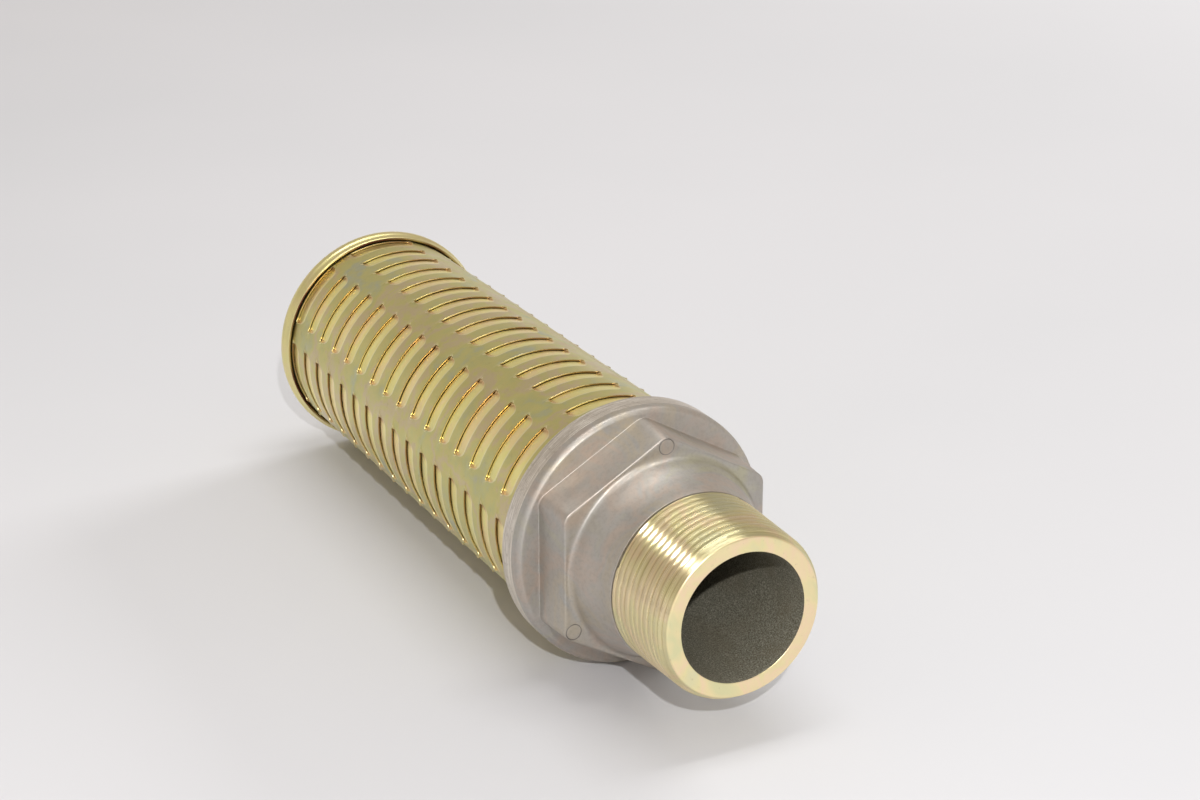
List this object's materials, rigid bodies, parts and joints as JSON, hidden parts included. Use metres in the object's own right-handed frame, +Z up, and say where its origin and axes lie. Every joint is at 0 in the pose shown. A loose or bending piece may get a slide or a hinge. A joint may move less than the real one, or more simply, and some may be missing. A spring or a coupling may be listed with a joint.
{
  "type": "pneumatic muffler",
  "caption": "Threaded pneumatic exhaust muffler: pipe nipple, cast hexagon adapter, louvred guard tube and end cap round a perforated core with a sound-absorbing sleeve.",
  "frame": {"origin": "centre of the bounding box, on the muffler axis half way along its length", "axes": "+X along the axis towards the pipe thread, +Z up with the muffler lying on its side, +Y completes a right-handed frame"},
  "size_m": [0.236, 0.0744, 0.0748],
  "materials": {
    "pipe_nipple": "yellow zinc plated, turned",
    "adapter_casting": "as die cast, rim and bead machined",
    "guard_tube": "yellow zinc plated sheet",
    "end_cap": "yellow zinc plated sheet",
    "core_tube": "plain perforated steel",
    "inner_gauze": "woven wire",
    "sound_sleeve": "pressed fibre felt",
    "outer_gauze": "woven wire",
    "front_cup": "pressed steel",
    "rear_cup": "pressed steel",
    "front_gasket": "fibre sealing ring",
    "rear_pad": "moulded pad"
  },
  "bodies": {
    "root": {"pipe_nipple": "pipe_nipple", "adapter_casting": "adapter_casting", "guard_tube": "guard_tube", "end_cap": "end_cap", "core_tube": "core_tube", "inner_gauze": "inner_gauze", "sound_sleeve": "sound_sleeve", "outer_gauze": "outer_gauze", "front_cup": "front_cup", "rear_cup": "rear_cup", "front_gasket": "front_gasket", "rear_pad": "rear_pad"}
  },
  "joints": []
}
